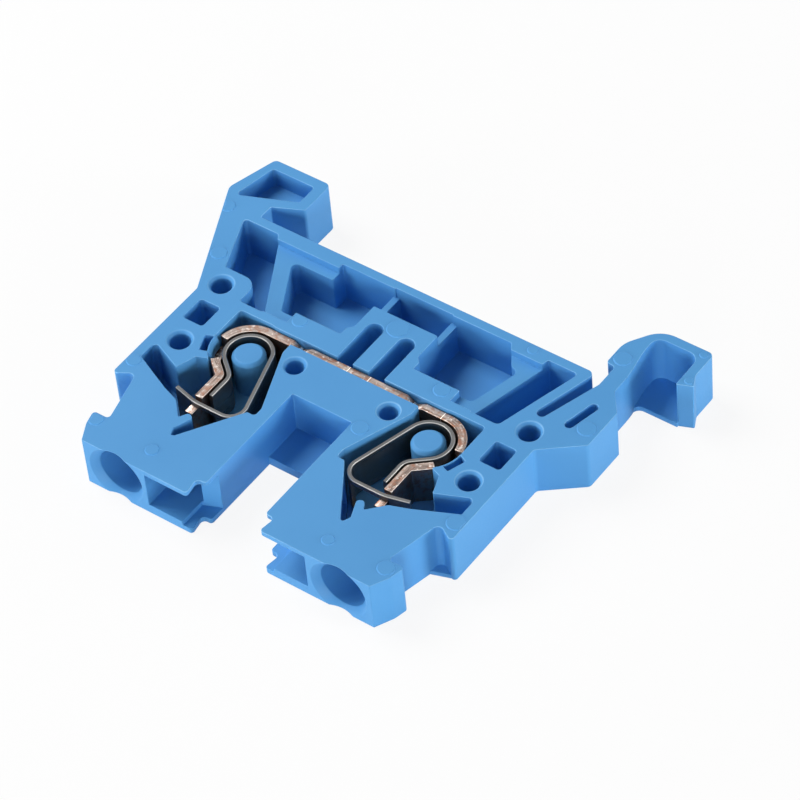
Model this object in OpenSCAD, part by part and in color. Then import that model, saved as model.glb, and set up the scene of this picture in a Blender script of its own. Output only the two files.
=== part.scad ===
// Feed-through terminal block for a 35 mm rail: a moulded housing that is open on one side,
// a bent copper current bar and two bent clamp springs. All lengths are in millimetres.
// It lies on its closed side. X runs across the rail from the fixed foot to the flexible foot,
// Y from the wire entries to the rail, Z from the closed side to the open side.
// The origin is the middle of the rail, on the plane where the housing meets the rail.

/* [Block] */
// Thickness of the block along the rail
block_t = 5; // [4.6:0.1:7]
// Closed wall under every pocket
floor_t = 0.9; // [0.7:0.05:1.1]
// Half the width of the body at its outer walls
body_half = 17.1; // [16.9:0.1:18.5]
// Depth at which the feet run into the outer walls
shoulder_y = 9.6; // [9:0.1:10]
// Depth from the rail plane to the front face
reach = 28.25; // [27.5:0.05:31]
// Wall that lies on the rail
rail_wall = 0.85; // [0.6:0.05:1]
// How far the webs between the pockets lie below the rim
web_drop = 0.7; // [0.4:0.05:1.2]
// Inner end of the low stretch at the foot of those webs
web_in = 8.3; // [8:0.05:8.6]
// Radius of crisp moulded corners
r_crisp = 0.12; // [0.05:0.01:0.15]
// Radius of soft moulded corners
r_soft = 0.3; // [0.2:0.02:0.4]
// Radius of full moulded corners
r_full = 0.5; // [0.35:0.05:0.6]
// Gap round a piece that is laid into the housing
seat_gap = 0.08; // [0.05:0.01:0.12]

/* [Heads and wire entries] */
// Half the width of the head at the front face
head_half = 14.45; // [14.2:0.05:14.9]
// Half the width of the gap between the two heads
gap_half = 3; // [2.4:0.1:3.2]
// Depth of the closed end of that gap
gap_y = 15; // [14.6:0.1:17]
// Depth of the front edge of the closed wall in that gap
gap_floor_y = 18.85; // [18:0.05:20]
// Thickness of the sheet that covers the entries
sheet_t = 0.5; // [0.35:0.05:0.55]
// Depth of the outer corner above the side groove
groove_y = 21.1; // [20.8:0.05:21.3]
// Rise of the groove's blind end above that corner
groove_rise = 1.1; // [0.8:0.05:1.3]
// Depth of the side groove into the outer wall
groove_in = 1.8; // [1.5:0.05:2]
// Closed wall in the side groove
ledge_t = 0.45; // [0.3:0.05:0.8]
// How far the inner end of that wall lies in front of the outer corner
ledge_in = 0.35; // [0.2:0.05:0.5]
// Height of the lip between the groove and the front face
lip_h = 3.05; // [2.6:0.05:3.4]
// How far the lip stands out beyond the front face's end
lip_out = 1.2; // [1:0.05:1.4]
// Place of the bend in the lip's outer side, outwards and above the front face's end
lip_bend = [0.85, 1.65]; // [0.6:0.05:1.9]
// How far the groove cuts in behind the lip
lip_in = 0.4; // [0.2:0.05:0.5]
// Distance of the wire entry's axis from the middle
entry_x = 11.2; // [11:0.05:11.35]
// Radius of the wire entry
entry_r = 2.15; // [1.9:0.05:2.2]
// Radius of the funnel at the mouth
mouth_r = 2.75; // [2.6:0.05:2.8]
// Depth of the wire entry up to its throat
entry_depth = 4.8; // [4:0.1:5.2]
// Radius of the throat that guides the bare conductor
throat_r = 1.5; // [1.3:0.05:1.6]
// Inner side of the screwdriver channel
driver_x = 4.5; // [4.3:0.05:4.7]
// Width of the screwdriver channel
driver_w = 3.55; // [3.3:0.05:3.7]
// Closed wall under the screwdriver channel
driver_floor = 0.95; // [0.7:0.05:1.1]
// Depths of the opening in the head's inner side, at the channel and at the gap
notch_depth = [2.6, 3.25]; // [2.3:0.05:3.5]
// Closed wall under that opening
notch_floor = 0.55; // [0.4:0.05:0.7]
// Depth of the scallop in the head's inner corner
scallop_w = 0.92; // [0.8:0.02:1]
// Height of the scallop above the front face
scallop_h = 1.68; // [1.5:0.02:1.8]
// How far the front face stops short of the gap
scallop_tip = 0.66; // [0.5:0.02:0.76]

/* [Fixed rail foot] */
// Width of the rail
rail_w = 35; // [35:0.1:35.4]
// Play between the rail and the feet
rail_play = 0.2; // [0.05:0.05:0.3]
// Height of the fixed foot above the rail plane
foot_h = 6.3; // [6:0.05:7]
// How far the fixed foot reaches under the rail edge
foot_grip = 2.75; // [2.4:0.05:3]
// Height of the rail notch at its inner end and at its mouth
notch_h = [1.42, 2.65]; // [1:0.01:3]
// Outer corner of the fixed foot, from the middle of the rail
foot_corner = [-22.28, 1.53]; // [-23:0.01:2]
// Width of the fixed foot along its top
foot_top_w = 5.9; // [5.6:0.05:6.1]
// Closed wall under the pocket in the fixed foot
foot_floor = 3.1; // [0.9:0.05:3.5]
// Wall round the pocket in the fixed foot
foot_wall = 1; // [0.8:0.05:1.1]

/* [Flexible rail foot] */
// Outer wall beside the flexible foot
arm_wall_x = 20.5; // [20:0.05:21]
// Depths between which that wall is upright
arm_wall_y = [2.75, 6.9]; // [2:0.05:8]
// Thickness of the flexible arm at the rail
arm_t = 1.5; // [1.2:0.05:1.6]
// Width of the relief slot between the body and the arm
slot_w = 0.9; // [0.7:0.05:1]
// Closed end of the relief slot
slot_end = [15.4, -5.9]; // [-8:0.05:17]
// How far the catch reaches under the rail edge
catch_grip = 0.9; // [0.6:0.05:1.1]
// Height of the catch above the rail plane
catch_h = 1.5; // [1.2:0.05:1.6]
// Fall of the catch's underside towards the arm
catch_fall = 0.1; // [0:0.05:0.4]
// Height of the flexible foot above the rail plane
hook_h = 6.87; // [6.6:0.01:7.2]
// Width of the flexible foot
hook_w = 6.95; // [6.6:0.05:7.3]
// Thickness of the flexible foot's back wall
hook_back = 1; // [0.85:0.05:1.2]
// Heights between which the arm's side sweeps over into that wall
sweep_y = [1.2, 4.2]; // [1:0.05:4.5]
// Radius at both ends of that sweep
sweep_r = 10; // [4:1:12]
// Height and width of the flexible foot's lead-in slope
lead_in = [2.87, 1.9]; // [1.5:0.01:3]
// Radius at both ends of that slope
lead_r = 2.5; // [1.5:0.1:2.8]
// Wall of the flexible foot's release hook
hook_wall = 0.85; // [0.7:0.05:1]
// Height of the release hook's end above the rail plane
hook_tip_h = 2.4; // [2.2:0.05:2.8]
// How far the release hook's end flares outwards
hook_flare = 0.55; // [0.3:0.05:0.7]
// Closed wall across the release hook
hook_floor = 0.5; // [0.4:0.05:0.9]
// Inner closed slot of the arm: its two ends
arm_slot = [17.85, -6.2, 18.65, -2.85]; // [-7:0.05:19]
// Width of that slot
arm_slot_w = 0.8; // [0.6:0.05:0.85]

/* [Clamps] */
// Distance of the clamp posts from the middle
clamp_x = 9.1; // [9:0.05:9.3]
// Depth of the clamp posts
clamp_y = 13; // [12.9:0.05:13.2]
// Radius of the clamp posts
post_r = 1.45; // [1.2:0.05:1.6]
// Chamfer round the top of the posts
post_chamfer = 0.3; // [0.1:0.05:0.4]
// How far the posts stay below the open side
post_drop = 0.45; // [0:0.05:0.6]

/* [Current bar] */
// Thickness of the current bar's strip
bar_t = 0.75; // [0.6:0.05:0.9]
// Radius of the bar's middle line round the post
bar_r = 2.8; // [2.75:0.01:2.95]
// How far the strips' upper edges lie below the open side
strip_drop = 0.35; // [0.2:0.05:0.4]
// Distance of the bar's V notches from the middle
nick_x = 5.78; // [5.5:0.02:6]
// Width of the V notches at the bar's upper edge
nick_w = 1.9; // [1.4:0.05:2.2]
// Depth of the V notches
nick_d = 0.52; // [0.3:0.02:0.8]
// Turn of the bar round the post
bar_turn = 140; // [136:1:144]
// Distance of the clamping limb from the post's middle
limb_off = 0.47; // [0.4:0.01:0.55]
// Radius of the kink above the limb
kink_r = 0.5; // [0.45:0.05:0.8]
// Depth of the limb's tip below the post
limb_tip = 7.6; // [7.5:0.05:7.8]
// Length of the narrow tongue at the limb's end
tongue_len = 1.45; // [1.35:0.05:1.6]
// How much narrower the tongue is on each edge
tongue_cut = 0.6; // [0.5:0.05:0.8]
// Depth of the relieved edge of the bar beside the post
relief_d = 1.2; // [0.8:0.05:1.4]
// Where the relieved edge starts and ends round the post
relief_a = [6, -44]; // [-60:1:20]

/* [Clamp springs] */
// Thickness of the spring strip
spring_t = 0.34; // [0.3:0.02:0.4]
// Gap between the spring and the bar that it lies against
strip_gap = 0.23; // [0.2:0.01:0.25]
// Gap under the spring
spring_lift = 0.1; // [0.05:0.05:0.2]
// Slope of the long leg
leg_a = 73.5; // [72:0.5:75]
// Depth of the tip leg below the post
leg_y = 6.68; // [6.6:0.01:6.75]
// Radius of the bend that the screwdriver pushes
bend_r = 1.35; // [1.2:0.05:1.4]
// Place of the tip, from the post's middle
spring_tip = [2.68, -6.15]; // [-7:0.01:3]
// Radius of the curl at the tip
curl_r = 3; // [2:0.1:4]
// Depth of the short leg's end below the post
short_end = 5.5; // [5.2:0.05:5.7]
// Inner end of the window, from the post's middle
window_in = -2.8; // [-3:0.05:-2.5]
// Play between the tongue and the window
window_play = 0.1; // [0.05:0.01:0.15]

/* [Clamp pockets] */
// Wall between the spring's tip and the outer wall
tip_wall = 0.9; // [0.7:0.05:1.1]
// Inner upper corner of the pocket, from the post's middle
pocket_in = [-2.6, 1.3]; // [-3:0.05:2]
// Inner lower corner of the pocket
pocket_low = [-4.95, -4.7]; // [-6:0.05:0]
// Inner end of the sheet's slanted edge
edge_in = [-4.2, -5.6]; // [-6:0.05:0]
// Pointed end of the sheet's slanted edge
edge_tip = [-0.75, -10.8]; // [-12:0.05:0]
// Round nose of the sheet beside the tongue
nose = [-0.55, -8.35]; // [-9:0.05:0]
// Valley between that nose and the wire entry
valley = [0.25, -9.05]; // [-10:0.05:1]
// Sheet's edge at the wire entry's inner and outer side
edge_out = [1.6, -7.6, 3.3, -7]; // [-8:0.05:4]
// Point of the wall beside the wire
wall_point = [3.2, -2.9]; // [-4:0.05:4]
// Foot of that wall at the tip recess
wall_foot = [3.85, -4.72]; // [-6:0.05:5]
// Height of the tip recess at its outer end
recess_h = 1.7; // [1.5:0.05:1.8]
// Depth of that recess below the post
recess_y = 3.6; // [3.4:0.05:3.8]

// Angles round the post between which a thin wall holds the bar
rib_a = [-1, -37]; // [-40:1:0]
// Thickness of that wall
rib_wall = 0.16; // [0.14:0.01:0.2]
// How far its snap nose reaches over the bar
nose_over = 0.16; // [0.1:0.02:0.35]
// Height of the slope on top of the snap nose
nose_slope = 0.5; // [0.4:0.05:0.6]
// Angle by which the wall round the bar ends before the bar does
wall_lead = 3; // [2:0.5:6]
// Upper corners of the core hole behind the nose, from the post's middle
core_top = [3.35, -0.2, 4.1, -0.55]; // [-1:0.05:5]
// Lower corners of the core hole
core_low = [2.8, -1.92, 3.5, -2.15]; // [-3:0.01:4]

/* [Locating holes] */
// Distance of the guide holes from the middle, and their depth
guide = [4.76, 12.4]; // [4:0.02:13]
// Radius of the guide holes
guide_r = 0.8; // [0.6:0.05:0.95]
// Place of the upper locating holes
upper_hole = [15.65, 8.15]; // [7:0.05:16]
// Place of the lower locating holes
lower_hole = [14.62, 15.1]; // [14:0.02:16]
// Radius of the locating holes
locating_r = 0.92; // [0.8:0.02:1.05]
// Width of the countersink round each hole
sink_w = 0.26; // [0.1:0.02:0.3]
// Middle of the square openings
square_at = [15.01, 11.65]; // [11:0.01:16]
// Sides of the square openings
square_size = [2.08, 2.5]; // [1.8:0.02:2.7]

/* [Middle of the body] */
// Half the width of the block between the jumper slots
block_half = 3.25; // [3:0.05:3.5]
// Depth of the block's rail side and of its wide foot
block_y = [3.43, 6.2, 7.48]; // [3:0.01:8]
// How much wider the foot of the block is
block_step = 0.45; // [0.3:0.05:0.6]
// Distance of the jumper slots from the middle
jumper_x = 1.6; // [1.4:0.05:1.8]
// Width of the jumper slots
jumper_w = 1.6; // [1.2:0.05:1.7]
// Depth of the jumper slots' round end
jumper_y = 4.9; // [4.6:0.05:5.2]
// Thickness of the low ribs beside the block
rib_t = 0.62; // [0.5:0.02:0.8]
// How much thinner the rail wall is between those ribs
wall_step = 0.1; // [0.05:0.01:0.2]
// How far the low ribs lie below the rim
rib_drop = 1.15; // [0.8:0.05:1.5]

/* [Left pockets] */
// Outer ends of the big left pocket at the rail
left_top = [-18.8, -15.15]; // [-19:0.05:-15]
// Lower ends of the big left pocket
left_low = [-13.15, -10.7]; // [-14:0.05:-10]
// Depth of the lower ends of the outer pockets
outer_low_y = 8.9; // [8.7:0.05:9]
// Step of the big left pocket round the locating hole
left_step = [-16.6, 6.33]; // [-17:0.01:7]
// Radius of the wall round the hole beside that step
bulge_r = 1.4; // [1:0.05:1.6]
// Left end of the middle pocket along the rail and at its foot
left_mid = [-12.65, -9.9]; // [-13:0.05:-9]
// End of the low shelf along the rail wall
shelf_end = -8.4; // [-9:0.05:-7]
// Depth of the shelf's rail side and of its front
shelf_y = [1.37, 2.3]; // [1:0.05:3]

/* [Right pockets] */
// Right end of the middle pocket at the rail wall
right_mid = [8.8, 10.75, 9.5]; // [8:0.05:11]
// Depths of the corner in the middle pocket's right side
right_mid_y = [2.45, 2.85]; // [2:0.05:3]
// Ends of the slanted pocket at the rail
slant_top = [12.5, 15.45]; // [12:0.05:16]
// Lower ends of the slanted pocket
slant_low = [10.35, 13.1]; // [10:0.05:14]
// Depth of the right web's step
web_step_y = 1.5; // [1.2:0.05:1.8]

/* [Hidden] */
$fn = 48;
// How far the points of a rounded corner may stray from the true arc
arc_error = 0.004;
// How far a cut runs past the face that it opens
past = 1;

post = [clamp_x, -clamp_y];
bar_y = -clamp_y + bar_r;
limb_x = clamp_x + limb_off;
strip_pitch = bar_t / 2 + strip_gap + spring_t / 2;
spring_r = bar_r - strip_pitch;
strip_top = block_t - strip_drop;
front = -reach;
axis_z = block_t / 2;
rail_left = -rail_w / 2 - rail_play;
rail_right = rail_w / 2;
arm_x = rail_right + arm_t;
hook_in = rail_right - catch_grip;
hook_out_x = hook_in + hook_w;

function unit(v) = v / norm(v);
function turned(a) = [cos(a), sin(a)];
function around(r, a) = post + r * turned(a);
function mirrored(c) = [for (p = c) [-p[0], p[1], p[2]]];
function reversed(c) = [for (i = [len(c) - 1:-1:0]) c[i]];
function at(p, r) = [p[0], p[1], r];
function from_post(p, r) = at(post + p, r);

// The points of one corner, rounded so that the arc leaves both sides smoothly
function corner(p, c, q) =
    let (
        here = [c[0], c[1]],
        u = unit([p[0], p[1]] - here),
        v = unit([q[0], q[1]] - here),
        half = acos(max(-1, min(1, u * v))) / 2,
        room = min(norm([p[0], p[1]] - here), norm([q[0], q[1]] - here)) / 2,
        r = min(c[2], room * tan(half)),
        centre = here + unit(u + v) * r / sin(half),
        start = here + u * r / tan(half) - centre,
        turn = (180 - 2 * half) * (cross(u, v) < 0 ? 1 : -1),
        steps = ceil(abs(turn) / (2 * acos(1 - arc_error / max(r, 2 * arc_error))))
    )
    r < 2 * arc_error ? [here] :
    [for (i = [0:steps]) centre + r * turned(atan2(start[1], start[0]) + turn * i / steps)];

// The same points without those that repeat the one before
function apart(p) = [for (i = [0:len(p) - 1]) if (i == 0 || norm(p[i] - p[i - 1]) > arc_error) p[i]];

// A closed outline from corners [x, y, radius]
function rounded(c) =
    let (n = len(c))
    apart([for (i = [0:n - 1]) each corner(c[(i + n - 1) % n], c[i], c[(i + 1) % n])]);

// An open line from corners [x, y, radius], as the middle line of a bent strip
function bent(c) =
    let (n = len(c))
    apart([
        [c[0][0], c[0][1]],
        for (i = [1:n - 2]) each corner(c[i - 1], c[i], c[i + 1]),
        [c[n - 1][0], c[n - 1][1]]
    ]);

// How far a strip's side lies from its middle line at one point, square to the line
function side_of(line, i) =
    let (
        n = len(line),
        a = unit(line[max(i, 1)] - line[max(i, 1) - 1]),
        b = unit(line[min(i + 1, n - 1)] - line[min(i, n - 2)]),
        m = unit([-a[1] - b[1], a[0] + b[0]])
    )
    m / (m * [-a[1], a[0]]);

// The outline of a strip of the given thickness that follows a line
function strip(line, t) =
    let (n = len(line))
    [for (i = [0:n - 1]) line[i] + side_of(line, i) * t / 2,
     for (i = [n - 1:-1:0]) line[i] - side_of(line, i) * t / 2];

// Corners of an arc round the post, from one angle clockwise by a turn
function loop(r, from, turn) =
    let (n = ceil(turn / 75), half = turn / n / 2)
    [for (i = [0:n - 1]) at(around(r / cos(half), from - half - i * 2 * half), r)];

// Where a strip that leaves the post at the end of the bar's turn meets the upright line x
function kink(r, x) =
    let (leave = around(r, 90 - bar_turn), way = turned(-bar_turn))
    leave + way * (x - leave[0]) / way[0];

// Right half of the current bar's middle line
bar_half = [
    each loop(bar_r, 90, bar_turn),
    at(kink(bar_r, limb_x), kink_r),
    [limb_x, -clamp_y - limb_tip, 0]
];
bar_line = bent(concat(reversed(mirrored(bar_half)), bar_half));

// Right clamp spring's middle line, from its tip to the end of its short leg
leg_start = around(spring_r, leg_a + 90);
bend_at = leg_start + turned(leg_a) * (-clamp_y - leg_y - leg_start[1]) / sin(leg_a);
spring_line = bent([
    from_post(spring_tip, 0),
    [limb_x, -clamp_y - leg_y, curl_r],
    at(bend_at, bend_r),
    each loop(spring_r, leg_a + 90, leg_a + bar_turn),
    at(kink(spring_r, limb_x - strip_pitch), kink_r + strip_pitch),
    [limb_x - strip_pitch, -clamp_y - short_end, 0]
]);

// Outer outline of one head and its side groove, from the outer wall to the gap
head_corners = [
    [body_half, -groove_y, r_soft],
    [body_half - groove_in, -groove_y + groove_rise, r_full],
    [head_half - lip_in, front + lip_h, r_soft],
    [head_half + lip_out, front + lip_h, r_soft],
    [head_half + lip_bend[0], front + lip_bend[1], 2 * r_full],
    [head_half, front, r_crisp],
    [gap_half + scallop_tip, front, r_soft],
    [gap_half + scallop_w, front + scallop_h, r_full],
    [gap_half, front + scallop_h, r_soft],
    [gap_half, -gap_y, r_crisp]
];

// Outline of the fixed foot, from the rail plane to the outer wall
foot_corners = [
    [rail_left, 0, r_crisp],
    [rail_left, notch_h[0], r_crisp],
    [rail_left + foot_grip, notch_h[1], r_soft],
    [rail_left + foot_grip, foot_h, r_full],
    [rail_left + foot_grip - foot_top_w, foot_h, r_full],
    at(foot_corner, 2 * r_full),
    [-body_half, -shoulder_y, r_full]
];

// Outline of the flexible foot, from the outer wall to the rail plane
slot_way = unit([rail_right, -slot_w] - slot_end);
slot_side = [slot_way[1], -slot_way[0]] * slot_w / 2;
slot_foot = slot_end - slot_way * slot_w / 2;
arm_corners = [
    [body_half, -shoulder_y, r_full],
    [arm_wall_x, -arm_wall_y[1], r_full],
    [arm_wall_x, -arm_wall_y[0], r_crisp],
    [arm_x, -slot_w, r_full],
    [arm_x, sweep_y[0], sweep_r],
    [rail_right + hook_back, sweep_y[1], sweep_r],
    [rail_right + hook_back, hook_h - hook_wall, 2 * r_full],
    [hook_out_x - hook_wall, hook_h - hook_wall, 2 * r_full],
    [hook_out_x - hook_wall, hook_tip_h, r_crisp],
    [hook_out_x + hook_flare, hook_tip_h + hook_flare, r_crisp],
    [hook_out_x, hook_tip_h + 3 * hook_flare, r_full],
    [hook_out_x, hook_h, r_full],
    [hook_in + lead_in[1], hook_h, lead_r],
    [hook_in, hook_h - lead_in[0], lead_r],
    [hook_in, catch_h, r_soft],
    [rail_right, catch_h - catch_fall, r_soft],
    [rail_right, -slot_w, r_full],
    at(slot_foot + slot_side, slot_w / 2),
    at(slot_foot - slot_side, slot_w / 2),
    [rail_right - slot_w, 0, r_full]
];

outline = concat(foot_corners, mirrored(head_corners), reversed(head_corners), arm_corners);

// Clamp pocket on the right, down to the sheet over the wire entry
wall_r = bar_r + bar_t / 2 + seat_gap;
pocket_r = wall_r + rib_wall / 2;
wall_half = (bar_turn - 90) / 2 - wall_lead;
wall_end = around(pocket_r, -2 * wall_half);
pocket_corners = [
    [clamp_x, -clamp_y + pocket_r, 0],
    [clamp_x + pocket_r, -clamp_y + pocket_r, r_soft],
    at(around(pocket_r / cos(wall_half), -wall_half), pocket_r),
    at(wall_end + turned(-90 - 2 * wall_half) * r_soft, r_crisp),
    from_post(wall_point, r_crisp),
    from_post(wall_foot, r_crisp),
    [body_half - tip_wall - r_soft, -clamp_y - recess_y + r_crisp, r_soft],
    [body_half - tip_wall, -clamp_y - recess_y - r_soft, r_soft],
    [body_half - tip_wall, -clamp_y - recess_y - recess_h, r_crisp],
    from_post([edge_out[2], edge_out[3]], r_full),
    from_post([edge_out[0], edge_out[1]], r_full),
    from_post(valley, r_crisp),
    from_post(nose + [r_soft, r_soft / 2], r_soft),
    from_post(nose - [r_soft, r_soft / 2], r_soft),
    from_post(edge_tip + [2 * r_soft, 2 * r_soft], r_crisp),
    from_post(edge_tip + [r_soft, -r_crisp], r_crisp),
    from_post(edge_tip, r_crisp),
    from_post(edge_in, r_crisp),
    from_post([pocket_low[0], edge_in[1]], r_soft),
    from_post(pocket_low, r_soft),
    from_post(pocket_in, 2 * r_full),
    from_post([pocket_in[0], bar_r], 0)
];

// Right side of the block that holds the jumper slots
block_corners = [
    [block_half, -block_y[0], r_crisp],
    [block_half, -block_y[1], r_crisp],
    [block_half + block_step, -block_y[1] - block_step, r_crisp],
    [block_half + block_step, -block_y[2], r_crisp]
];

// Pockets behind the rail wall
wall_step_x = block_half - rib_t / 2;
left_big_pocket = [
    [left_top[0], -rail_wall, r_soft],
    [left_top[1], -rail_wall, r_soft],
    [left_low[1], -outer_low_y, r_crisp],
    [left_low[0], -outer_low_y, r_soft],
    [left_low[0], -left_step[1], bulge_r],
    [left_step[0], -left_step[1], r_soft]
];
middle_pocket = [
    [left_mid[0], -shelf_y[1], r_full],
    [shelf_end, -shelf_y[1], r_crisp],
    [shelf_end, -rail_wall, r_crisp],
    [-wall_step_x, -rail_wall, 0],
    [-wall_step_x, -rail_wall + wall_step, 0],
    [wall_step_x, -rail_wall + wall_step, 0],
    [wall_step_x, -rail_wall, 0],
    [right_mid[0], -rail_wall, r_crisp],
    [right_mid[0] + right_mid_y[0] - rail_wall - r_full, -right_mid_y[0], r_full],
    [right_mid[1], -right_mid_y[1], r_full],
    [right_mid[2], -block_y[2], r_full],
    each reversed(block_corners),
    each mirrored(block_corners),
    [left_mid[1], -block_y[2], r_soft]
];
right_slant_pocket = [
    [slant_top[0], -rail_wall, r_crisp],
    [slant_top[1], -rail_wall, r_soft],
    [slant_low[1], -outer_low_y, r_full],
    [slant_low[0], -outer_low_y, r_crisp]
];
foot_pocket = [
    at(foot_corner + [foot_wall, -foot_wall / 2], r_soft),
    [rail_left + foot_grip - foot_top_w + foot_wall / 2, foot_h - foot_wall, r_soft],
    [rail_left + foot_grip - foot_wall, foot_h - foot_wall, r_soft],
    [rail_left + foot_grip - foot_wall, notch_h[1] + foot_wall / 2, r_crisp]
];

// Slot in the thick root of the arm
arm_from = [arm_slot[0], arm_slot[1]];
arm_to = [arm_slot[2], arm_slot[3]];
arm_side = [arm_from[1] - arm_to[1], arm_to[0] - arm_from[0]] / norm(arm_to - arm_from) * arm_slot_w / 2;
arm_pocket = [
    at(arm_from + arm_side, arm_slot_w / 2),
    at(arm_from - arm_side, arm_slot_w / 2),
    at(arm_to - arm_side, arm_slot_w / 2),
    at(arm_to + arm_side, arm_slot_w / 2)
];

// Slot that takes a jumper's leg down to the bar
jumper_slot = [
    [jumper_x - jumper_w / 2, -jumper_y, jumper_w / 2],
    [jumper_x + jumper_w / 2, -jumper_y, jumper_w / 2],
    [jumper_x + jumper_w / 2, bar_y, 0],
    [jumper_x - jumper_w / 2, bar_y, 0]
];

// Square opening between the locating holes
square_mid = [square_at[0], -square_at[1]];
square_opening = [
    for (s = [[-1, -1], [1, -1], [1, 1], [-1, 1]])
        at(square_mid + [s[0] * square_size[0], s[1] * square_size[1]] / 2, r_soft)
];

// Core hole behind the wall that holds the bar
core_hole = [
    from_post([core_top[0], core_top[1]], r_crisp),
    from_post([core_top[2], core_top[3]], r_crisp),
    from_post([core_low[2], core_low[3]], r_crisp),
    from_post([core_low[0], core_low[1]], r_crisp)
];

// Groove that the straight middle of the bar lies in
groove_half = bar_t / 2 + seat_gap;
bar_groove = [
    [-clamp_x, bar_y - groove_half],
    [clamp_x, bar_y - groove_half],
    [clamp_x, bar_y + groove_half],
    [-clamp_x, bar_y + groove_half]
];

// Webs between the pockets, which lie below the rim
left_web = [
    [left_top[1], -shelf_y[0]],
    [shelf_end + r_full, -shelf_y[0]],
    [-web_in, -block_y[2] + r_crisp],
    [-web_in, -outer_low_y + r_crisp],
    [left_low[1] - r_full, -outer_low_y + r_crisp]
];
right_web = [
    [right_mid[0], -web_step_y],
    [slant_top[0], -web_step_y],
    [slant_low[0] + r_full, -outer_low_y + r_crisp],
    [web_in, -outer_low_y + r_crisp],
    [web_in, -block_y[2] + r_crisp]
];

// A straight-sided cut through the open side, down to a height
module cut(outline, z) {
    translate([0, 0, z])
        linear_extrude(block_t - z + past)
            polygon(outline);
}

// A blind round hole with a fine countersink
module hole(p, r) {
    translate([p[0], -p[1], 0])
        rotate_extrude()
            polygon([
                [0, floor_t],
                [r, floor_t],
                [r, block_t - sink_w],
                [r + sink_w + past, block_t + past],
                [0, block_t + past]
            ]);
}

// Wire entry: a funnel, a round bore and a throat that ends in the clamp pocket
module wire_entry() {
    translate([entry_x, front, axis_z])
        rotate([-90, 0, 0])
            rotate_extrude()
                polygon([
                    [0, -past],
                    [mouth_r + past, -past],
                    [entry_r, mouth_r - entry_r],
                    [entry_r, entry_depth],
                    [throat_r, entry_depth + entry_r - throat_r],
                    [throat_r, reach - clamp_y - leg_y],
                    [0, reach - clamp_y - leg_y]
                ]);
}

// Screwdriver channel with its opening in the head's inner side
module driver_channel() {
    translate([driver_x, front - past, driver_floor])
        cube([driver_w, reach + past - clamp_y - leg_y, block_t - sheet_t - driver_floor]);
    translate([0, 0, notch_floor])
        linear_extrude(block_t - sheet_t - notch_floor)
            polygon([
                [0, front - past],
                [driver_x + r_crisp, front - past],
                [driver_x + r_crisp, front + notch_depth[0]],
                [gap_half, front + notch_depth[1]],
                [0, front + notch_depth[1]]
            ]);
}

// Everything that is cut on both sides alike
module clamp_side() {
    cut(rounded(pocket_corners), floor_t);
    wire_entry();
    driver_channel();
    hole(guide, guide_r);
    hole(upper_hole, locating_r);
    hole(lower_hole, locating_r);
    cut(rounded(square_opening), floor_t);
    cut(rounded(core_hole), floor_t);
    cut(rounded(jumper_slot), floor_t);
}

// Clamp post with a chamfered top
module clamp_post() {
    post_h = block_t - post_drop;
    translate([clamp_x, -clamp_y, 0])
        rotate_extrude()
            polygon([
                [0, floor_t / 2],
                [post_r, floor_t / 2],
                [post_r, post_h - post_chamfer],
                [post_r - post_chamfer, post_h],
                [0, post_h]
            ]);
}

// Thin wall between the bar and the core hole, with a snap nose over the bar's relieved edge
module bar_catch() {
    nose_z = strip_top - relief_d + 2 * seat_gap;
    translate([clamp_x, -clamp_y, 0])
        rotate([0, 0, rib_a[1]])
            rotate_extrude(angle = rib_a[0] - rib_a[1])
                polygon([
                    [wall_r, floor_t / 2],
                    [wall_r + rib_wall, floor_t / 2],
                    [wall_r + rib_wall, block_t - r_crisp],
                    [wall_r, block_t - r_crisp],
                    [wall_r - seat_gap - nose_over, block_t - r_crisp - nose_slope],
                    [wall_r - seat_gap - nose_over, nose_z],
                    [wall_r, nose_z]
                ]);
}

// Low ribs from the block to the rail wall
module low_ribs() {
    for (x = [-block_half, block_half - rib_t])
        translate([x, -block_y[0] - rib_t, floor_t / 2])
            cube([rib_t, block_y[0] + rib_t - rail_wall / 2, block_t - rib_drop - floor_t / 2]);
}

// Closed wall across the release hook of the flexible foot
module hook_web() {
    linear_extrude(hook_floor)
        polygon(rounded([
            [arm_x - arm_t / 2, catch_h, 0],
            [arm_x - r_crisp, hook_tip_h - arm_t, 0],
            [arm_x - r_crisp, hook_tip_h - r_crisp, 2 * r_full],
            [hook_out_x - hook_wall + r_crisp, hook_tip_h - r_crisp, 0],
            [hook_out_x - hook_wall / 2, hook_h - hook_wall / 2, 0],
            [hook_in + lead_in[1], hook_h - hook_wall / 2, r_full],
            [arm_x - arm_t / 2, hook_h - lead_in[0], r_full]
        ]));
}

// Closed wall across the inner end of the gap between the heads
module gap_floor() {
    translate([-gap_half - r_soft, -gap_floor_y, 0])
        cube([2 * (gap_half + r_soft), gap_floor_y - gap_y + r_soft, floor_t]);
}

// Closed wall across the blind end of the side groove
module groove_ledge() {
    linear_extrude(ledge_t)
        polygon([
            [body_half - groove_in - r_full, -groove_y - ledge_in],
            [body_half - r_soft, -groove_y + r_soft],
            [body_half - r_full, -groove_y + groove_rise],
            [body_half - groove_in, -groove_y + groove_rise + r_full]
        ]);
}

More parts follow.
